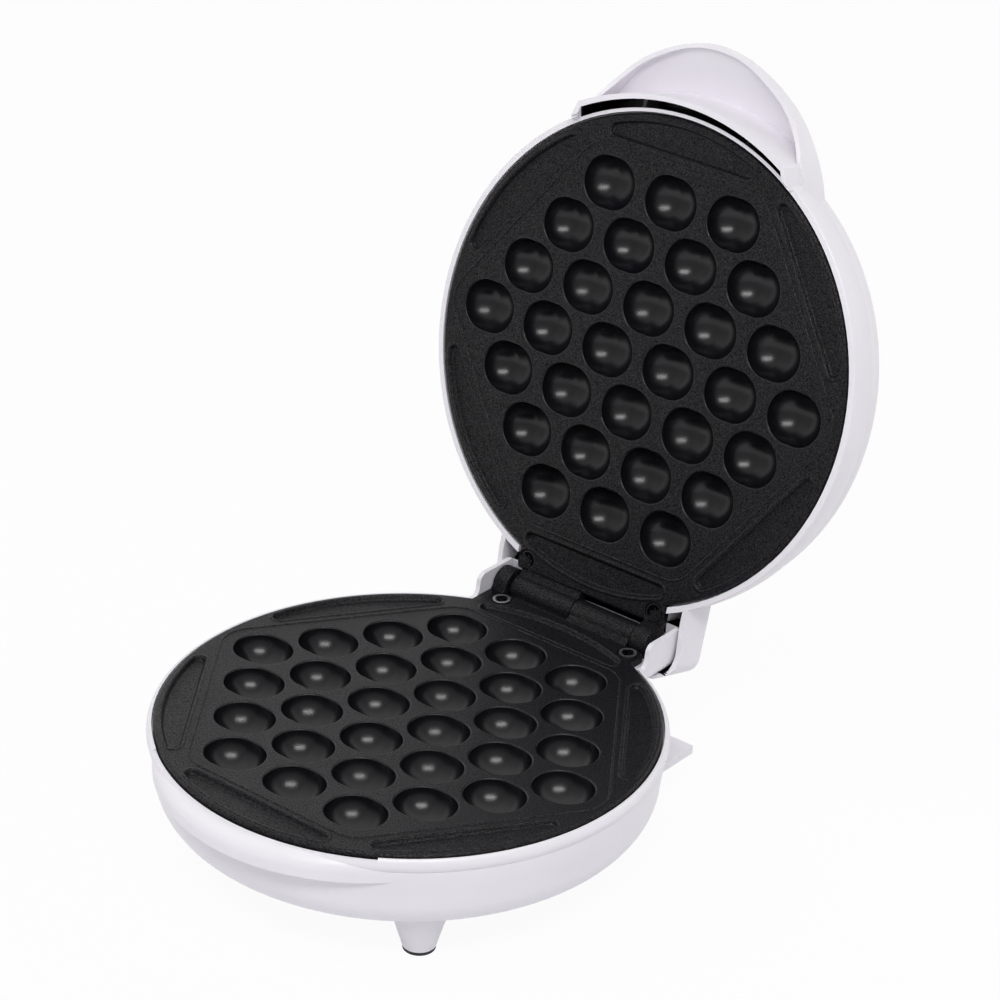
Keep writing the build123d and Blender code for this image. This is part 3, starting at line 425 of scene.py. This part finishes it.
def piece(name, mesh, body, material, replaced):
    obj = bpy.data.objects.new(name, mesh)
    bpy.context.scene.collection.objects.link(obj)
    mesh.materials.clear()
    mesh.materials.append(material)
    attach(obj, body)
    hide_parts(*replaced)


def grill_mesh(name, spans, to_world):
    """Cast plate: triangles between the contours make its face, the same triangles turned over make
    its back, and strips close its edge. Its knuckles and posts are closed forms that reach into it."""
    face = Contours()
    for a in np.linspace(0, math.pi / 2, 7)[::-1]:
        face.add_loop(plate_outline(EDGE_R * (1 - math.sin(a))), EDGE_R * (math.cos(a) - 1), a)
    outline = list(range(len(plate_outline(0))))
    add_cavities(face)
    for inset, z, slope in BEAD:
        face.add_loop(hexagon_loop(inset), z, slope)
    add_pockets(face)
    for x in (-SCREW_X, SCREW_X):
        for r, z, slope in SCREW_SEAT:
            face.add_loop(circle(x, SCREW_Y, r), z, slope)

    plan, _, tris, origin, _, _ = delaunay_2d_cdt(
        [Vector(p) for p in face.plan], face.edges, [outline], 1, 1e-5)
    verts, normals, cavity, backs = [], [], [], []
    at = {}
    for i, sources in enumerate(origin):
        if sources:
            s = sources[0]
            at[s] = i
            verts.append((*face.plan[s], face.height[s]))
            normals.append(face.normal[s])
            cavity.append(face.cavity[s])
            backs.append(face.back[s])
        else:
            # made where contours cross, as a screw seat and the tongue's rounded edge do
            verts.append((plan[i][0], plan[i][1], 0.0))
            normals.append((0, 0, 1))
            cavity.append(0.0)
            backs.append((plan[i][0], plan[i][1], -PLATE_T))
    # down the outer wall
    rows = [[at[k] for k in outline]]
    outward = loop_normals(np.array([face.plan[k] for k in outline]))
    for inset, z, lean in OUTER_WALL:
        rows.append(list(range(len(verts), len(verts) + len(outline))))
        for k, n in zip(outline, outward):
            x, y = face.plan[k]
            verts.append((x - n[0] * inset, y - n[1] * inset, z))
            normals.append((n[0] * math.cos(lean), n[1] * math.cos(lean), math.sin(lean)))
    faces = [tuple(t) for t in tris]
    for upper, lower in zip(rows, rows[1:]):
        for k in range(len(outline)):
            j = (k + 1) % len(outline)
            faces.append((upper[k], lower[k], lower[j], upper[j]))
    # the back starts from the lowest row of the wall
    under = dict(zip(rows[0], rows[-1]))
    for i, p in enumerate(backs):
        if i not in under:
            under[i] = len(verts)
            verts.append(p)
    faces += [tuple(under[v] for v in reversed(t)) for t in tris]

    bm = bmesh.new()
    for v in verts:
        bm.verts.new(v)
    bm.verts.ensure_lookup_table()
    layer = bm.verts.layers.float.new("cavity")
    for v, value in zip(bm.verts, cavity):
        v[layer] = value
    for f in faces:
        bm.faces.new([bm.verts[i] for i in f]).smooth = True
    add_knuckles(bm, spans)
    add_posts(bm)
    bmesh.ops.transform(bm, matrix=to_world, verts=bm.verts)
    mesh = bpy.data.meshes.new(name)
    bm.to_mesh(mesh)
    bm.free()
    mesh.update()
    # face and wall get the normals worked out for them, and what comes after them keeps its own
    turn = to_world.to_3x3().normalized()
    worked_out = [tuple(turn @ Vector(n)) for n in normals]
    own = [tuple(v.normal) for v in mesh.vertices[len(normals):]]
    mesh.normals_split_custom_set_from_vertices(worked_out + own)
    return mesh


def prism(bm, profile, x0, x1, bevel=0.0):
    """Closed solid from a (y, z) outline run from x0 to x1, its ends bevelled if asked."""
    start, end = ([bm.verts.new((x, y, z)) for y, z in profile] for x in (x0, x1))
    sides = []
    for k in range(len(profile)):
        j = (k + 1) % len(profile)
        sides.append(bm.faces.new((start[k], end[k], end[j], start[j])))
    caps = [bm.faces.new(start[::-1]), bm.faces.new(end)]
    bmesh.ops.recalc_face_normals(bm, faces=sides + caps)
    for f in sides:
        f.smooth = True
    if bevel:
        rim = [e for f in caps for e in f.edges]
        got = bmesh.ops.bevel(bm, geom=rim, offset=bevel, segments=2, profile=0.6, affect="EDGES")
        for f in got["faces"]:
            f.smooth = True


def add_knuckles(bm, spans):
    """Knuckles round the pin, with webs to the tongue. One that lies beyond the width of the tongue
    also gets a bar beside it."""
    web_y, web_z, web_deg = TAB_END - 1.0, -0.6, 172    # the arc turns into the web at web_deg
    bar_y0, bar_y1, bar_z1 = 84, TAB_END + 0.5, -0.02
    for x0, x1, r in spans:
        back_deg = 180 + math.degrees(math.asin((PLATE_T + PIN_Z) / r))    # at the level of the back
        profile = [tuple(p) for p in arc(PIN_Y, PIN_Z, r, back_deg - 360, web_deg, 40)]
        profile += [(web_y, web_z), (web_y, -PLATE_T)]
        prism(bm, profile, x0, x1, bevel=0.45)
        if max(abs(x0), abs(x1)) > TAB_HALF:
            bar = [(bar_y0, -PLATE_T), (bar_y1, -PLATE_T), (bar_y1, bar_z1), (bar_y0, bar_z1)]
            prism(bm, bar, x0, x1)


def mid_wall(x, y):
    """Height of the middle of the casting's wall over a point of its plan."""
    mid = BALL + BALL_WALL / 2
    rho = min(math.hypot(max(abs(x - cx) - BALL_DX, 0), y - cy) for cx, cy in CELLS)
    return min(-PLATE_T / 2, BALL_UP - math.sqrt(mid ** 2 - rho ** 2)) if rho < mid else -PLATE_T / 2


def column(bm, x, y, r, z0):
    """Post from z0 up to the middle of the casting's wall, which its cap follows."""
    count = 24
    t = np.linspace(0, 2 * math.pi, count + 1)[:-1]
    rows = [[bm.verts.new((x + r * math.cos(a), y + r * math.sin(a), z0)) for a in t]]
    for f in (1.0, 0.75, 0.5, 0.25):
        ring = [(x + f * r * math.cos(a), y + f * r * math.sin(a)) for a in t]
        rows.append([bm.verts.new((px, py, mid_wall(px, py))) for px, py in ring])
    tip = bm.verts.new((x, y, mid_wall(x, y)))
    bm.faces.new(rows[0][::-1])
    for k in range(count):
        j = (k + 1) % count
        for low, high in zip(rows, rows[1:]):
            bm.faces.new((low[k], low[j], high[j], high[k])).smooth = True
        bm.faces.new((rows[-1][k], rows[-1][j], tip))


def add_posts(bm):
    """Posts on the back that carry the heater and its straps, the shield and the control."""
    seat = -(BALL + BALL_WALL - BALL_UP + SEAT_CLEAR)
    clamp = seat - CLAMP_DROP
    for deg in (30, 150, 270):
        for r, z in ((HEATER_R - CLAMP_STEP, clamp), (HEATER_R, seat), (HEATER_R + CLAMP_STEP, clamp)):
            column(bm, r * math.cos(math.radians(deg)), r * math.sin(math.radians(deg)), POST_R, z)
    for deg in (90, 210, 330):
        x, y = SHIELD_POST_R * math.cos(math.radians(deg)), SHIELD_POST_R * math.sin(math.radians(deg))
        column(bm, x, y, POST_R, seat - SHIELD_DROP)
    column(bm, 0, 0, CONTROL_R, seat)


# The lid casting is turned over, so its knuckles are drawn with x reversed.
lid_long_x = SPLIT_X - PLAY - LONG
base_end_x = lid_long_x - END_GAP - BASE_END
base_long_x = SPLIT_X + PLAY
lid_end_x = base_long_x + LONG + END_GAP
BASE_SPANS = [(base_end_x, base_end_x + BASE_END, END_R), (base_long_x, base_long_x + LONG, LONG_R)]
LID_SPANS = [(-(lid_long_x + LONG), -lid_long_x, LONG_R), (-(lid_end_x + LID_END), -lid_end_x, END_R)]

SHELL = moulded_shell()
CASTING = coated_casting()
ZINC = plated_steel()
# the first colour of each screw head is painted shade for its recess
BRIGHT_HEAD = screw_head("zinc_screw_head", "#131315", "#dcdcde", 0.68, 0.88)
BLACK_HEAD = screw_head("black_oxide_screw_head", "#0d0d0f", "#6a6a70", 0.9, 1.0)
PIN = plain("ground_stainless", "#8f9092", "#b4b5b8", 0.28, 600.0, 1.0)
SHEATH = plain("heat_stained_sheath", "#4a4440", "#6a625c", 0.42, 120.0, 1.0, 0.1)
SHEET = plain("aluminised_sheet", "#a5a5a6", "#c2c2c4", 0.38, 160.0, 1.0, 0.1)
GALVANISED = plain("galvanised_strip", "#8b8c8e", "#a9aaac", 0.42, 260.0, 1.0, 0.1)
CERAMIC = plain("steatite_ceramic", "#d6d1c4", "#e4e0d6", 0.55, 500.0, 0.0, 0.15)
PHENOLIC = plain("phenolic_moulding", "#221d1b", "#332c29", 0.45, 500.0, 0.0, 0.15)
PADS = plain("grey_foot_rubber", "#161618", "#242427", 0.65, 700.0, 0.0, 0.3)
BUSH = plain("pale_flexible_pvc", "#c9c9cd", "#d6d6da", 0.5, 500.0, 0.0, 0.15)
RED = plain("red_lens_acrylic", "#a8140f", "#c01c14", 0.12)
GREEN = plain("green_lens_acrylic", "#0f7a2a", "#149437", 0.12)

piece("base_grill_plate", grill_mesh("base_grill_plate", BASE_SPANS, IN_BASE),
      "base", CASTING, ("base_plate",))
piece("lid_grill_plate", grill_mesh("lid_grill_plate", LID_SPANS, IN_LID @ TURNED_OVER),
      "lid", CASTING, ("lid_plate",))

SHARP_DEG = 32    # edges of a CAD solid that turn by more than this stay sharp


def dressed(node_name, material):
    """A copy of a CAD solid with its triangles joined, so that curved faces shade smoothly."""
    mesh = frame["nodes"][node_name].data.copy()
    bm = bmesh.new()
    bm.from_mesh(mesh)
    bmesh.ops.remove_doubles(bm, verts=bm.verts, dist=1e-6)
    bmesh.ops.dissolve_degenerate(bm, edges=bm.edges, dist=1e-7)
    for f in bm.faces:
        f.smooth = True
    for e in bm.edges:
        if len(e.link_faces) == 2 and e.calc_face_angle(0) > math.radians(SHARP_DEG):
            e.smooth = False
    bm.to_mesh(mesh)
    bm.free()
    if node_name == "lid_shell":
        paint_shade_faces(mesh)
    if node_name == "base_plate_screws":
        mark_heads(mesh, IN_BASE)
    if node_name == "lid_plate_screws":
        mark_heads(mesh, IN_LID)
    body = next(b for b, names in frame["record"]["behaviour"]["bodies"].items() if node_name in names)
    piece(node_name + "_skin", mesh, body, material, (node_name,))


def mark_heads(mesh, place):
    """How far each point of the plate screws lies from the axis of its screw, 1 at the head's edge."""
    home = place.inverted()
    values = []
    for v in mesh.vertices:
        p = home @ v.co
        values.append(math.hypot(abs(p.x) - SCREW_X, p.y - SCREW_Y) / HEAD_R)
    mesh.attributes.new("rim", "FLOAT", "POINT").data.foreach_set("value", values)


# Where the lid gets painted shade, in the lid with the appliance shut: the slot behind the hanging
# lip, between two radii, and the room of the hinge box, at the rear.
SLOT_HALF, SLOT_FRONT_Y = 50.6, -80
SLOT_FROM_R, SLOT_TO_R = 98.0, 102.3
SLOT_FROM_Z, SLOT_TO_Z = 2.0, 17.3
SLOT_RIB_X, SLOT_RIB_HALF = 25.7, 1.0
ROOM_HALF, ROOM_FROM_Y, ROOM_TO_Y = 44.85, 97, 114.9


def paint_shade_faces(mesh):
    """Marks the faces of the lid that get painted shade: the inner ones of the slot, with its two ribs
    given a little less, and all that lie over or under the room of the hinge box. These take in the
    outer top of that box too, which is a fault: it shows dark from above and from behind."""
    to_lid = IN_LID.inverted()
    values = []
    for face in mesh.polygons:
        p = to_lid @ face.center
        in_slot = (p.y < SLOT_FRONT_Y and abs(p.x) < SLOT_HALF and SLOT_FROM_Z < p.z < SLOT_TO_Z
                   and SLOT_FROM_R < math.hypot(p.x, p.y) < SLOT_TO_R)
        in_room = abs(p.x) < ROOM_HALF and ROOM_FROM_Y < p.y < ROOM_TO_Y
        on_rib = abs(abs(p.x) - SLOT_RIB_X) < SLOT_RIB_HALF
        # painted shade: 1 in the slot and the hinge box room, 0.75 on the slot's ribs, 0 elsewhere
        values.append(0.75 if in_slot and on_rib else 1.0 if in_slot or in_room else 0.0)
    mesh.attributes.new("painted_shade", "FLOAT", "FACE").data.foreach_set("value", values)


FINISH = {
    "base_shell": SHELL, "lid_shell": SHELL,
    "base_plate_screws": BRIGHT_HEAD, "lid_plate_screws": BLACK_HEAD, "hinge_pin": PIN,
    "base_heating_element": SHEATH, "lid_heating_element": SHEATH,
    "base_element_clamps": GALVANISED, "lid_element_clamps": GALVANISED,
    "base_clamp_screws": ZINC, "lid_clamp_screws": ZINC,
    "base_heat_shield": SHEET, "lid_heat_shield": SHEET,
    "base_shield_screws": ZINC, "lid_shield_screws": ZINC,
    "base_thermal_fuse": CERAMIC, "base_fuse_clip": GALVANISED, "base_fuse_screw": ZINC,
    "base_terminal_block": CERAMIC, "base_terminal_screws": ZINC, "base_cord_gland": BUSH,
    "base_foot_pads": PADS, "lid_thermostat": PHENOLIC, "lid_power_lens": RED,
    "lid_ready_lens": GREEN, "lid_power_lamp": CERAMIC, "lid_ready_lamp": CERAMIC,
}
for name, material in FINISH.items():
    dressed(name, material)


# Floor, surroundings, lamps and camera

WHITE = (1, 1, 1, 1)
AWAY = (-0.627, 0.779, 0.0)    # the way that the camera looks, seen from above


def background_seen(tree, vector, near, far):
    """1 for camera and transmission rays, and for glossy rays that meet what lies behind the object:
    from 0 at near to 1 at far, measured along AWAY."""
    along = node(tree, "ShaderNodeVectorMath", {"operation": "DOT_PRODUCT", 1: AWAY}, {0: vector})
    behind = node(tree, "ShaderNodeMapRange", span(near, far, 0.0, 1.0),
                  {"Value": along.outputs["Value"]})
    path = node(tree, "ShaderNodeLightPath")
    glossy = node(tree, "ShaderNodeMath", {"operation": "MULTIPLY"},
                  {0: path.outputs["Is Glossy Ray"], 1: behind})
    straight = node(tree, "ShaderNodeMath", {"operation": "MAXIMUM"},
                    {0: path.outputs["Is Camera Ray"], 1: path.outputs["Is Transmission Ray"]})
    return node(tree, "ShaderNodeMath", {"operation": "MAXIMUM"}, {0: straight, 1: glossy})


FLOOR_HALF = 4
corners = [(x * FLOOR_HALF, y * FLOOR_HALF, 0) for x, y in ((-1, -1), (1, -1), (1, 1), (-1, 1))]
floor_mesh = bpy.data.meshes.new("floor")
floor_mesh.from_pydata(corners, [], [(0, 1, 2, 3)])
floor = bpy.data.objects.new("floor", floor_mesh)
bpy.context.scene.collection.objects.link(floor)
pale_floor, floor_tree = new_material("pale_floor")
floor_place = node(floor_tree, "ShaderNodeTexCoord").outputs["Object"]
# the rest of the floor's light is its diffuse part, which keeps the shadow
floor_white = node(floor_tree, "ShaderNodeMath", {"operation": "MULTIPLY", 1: 0.94},
                   {0: background_seen(floor_tree, floor_place, -0.5, 0.1)})
diffuse = node(floor_tree, "ShaderNodeBsdfDiffuse", {"Color": srgb("#e9e9ec")})
emission = node(floor_tree, "ShaderNodeEmission", {"Color": WHITE, "Strength": 1.0})
floor_look = node(floor_tree, "ShaderNodeMixShader", {}, {0: floor_white, 1: diffuse, 2: emission})
node(floor_tree, "ShaderNodeOutputMaterial", {}, {"Surface": floor_look})
floor_mesh.materials.append(pale_floor)

world = bpy.data.worlds.new("studio")
bpy.context.scene.world = world
world.use_nodes = True
studio = world.node_tree
studio.nodes.clear()
direction = node(studio, "ShaderNodeTexCoord").outputs["Generated"]
seen = background_seen(studio, direction, -0.3, 0.2)
dim = node(studio, "ShaderNodeBackground", {"Color": WHITE, "Strength": 0.45})
bright = node(studio, "ShaderNodeBackground", {"Color": WHITE, "Strength": 1.0})
surroundings = node(studio, "ShaderNodeMixShader", {}, {0: seen, 1: dim, 2: bright})
node(studio, "ShaderNodeOutputWorld", {}, {"Surface": surroundings})


def soft_light(name, place, target, size, power, shows=True):
    """Rectangular lamp. One that doesn't show gives light but leaves no highlight."""
    data = bpy.data.lights.new(name, "AREA")
    data.shape = "RECTANGLE"
    data.size, data.size_y = size
    data.energy = power
    lamp = bpy.data.objects.new(name, data)
    lamp.location = place
    lamp.rotation_euler = (Vector(target) - Vector(place)).to_track_quat("-Z", "Y").to_euler()
    lamp.visible_glossy = shows
    bpy.context.scene.collection.objects.link(lamp)


soft_light("key", (-1.3, -0.9, 1.5), (0, 0, 0.1), (1.2, 1.2), 9, shows=False)
soft_light("front", (0.98, -1.08, 1.95), (0, 0, 0.12), (1.7, 0.55), 27)
soft_light("back", (0.9, 1.7, 1.3), (0, 0, 0.1), (1.2, 1.2), 7, shows=False)

CAMERA_AT = (0.77214, -0.90927, 0.71466)    # from the middle of the base casting's face, metres
AZIMUTH, ELEVATION, ROLL = (math.radians(v) for v in (38.811, 27.527, 1.863))
cam_data = bpy.data.cameras.new("camera")
cam_data.sensor_width = 36.0
cam_data.lens = 132.18
cam_data.clip_start, cam_data.clip_end = 0.05, 20
camera = bpy.data.objects.new("camera", cam_data)
backward = Vector((math.sin(AZIMUTH) * math.cos(ELEVATION), -math.cos(AZIMUTH) * math.cos(ELEVATION),
                   math.sin(ELEVATION)))
level = Vector((math.cos(AZIMUTH), math.sin(AZIMUTH), 0))
upright = backward.cross(level)
right = level * math.cos(ROLL) + upright * math.sin(ROLL)
up = -level * math.sin(ROLL) + upright * math.cos(ROLL)
camera.matrix_world = (
    Matrix.Translation(Vector(CAMERA_AT) + Vector((0, CENTRE_Y, TABLE_Z)) / 1000)
    @ Matrix((right, up, backward)).transposed().to_4x4())
bpy.context.scene.collection.objects.link(camera)
bpy.context.scene.camera = camera
bpy.context.scene.view_settings.view_transform = "Standard"
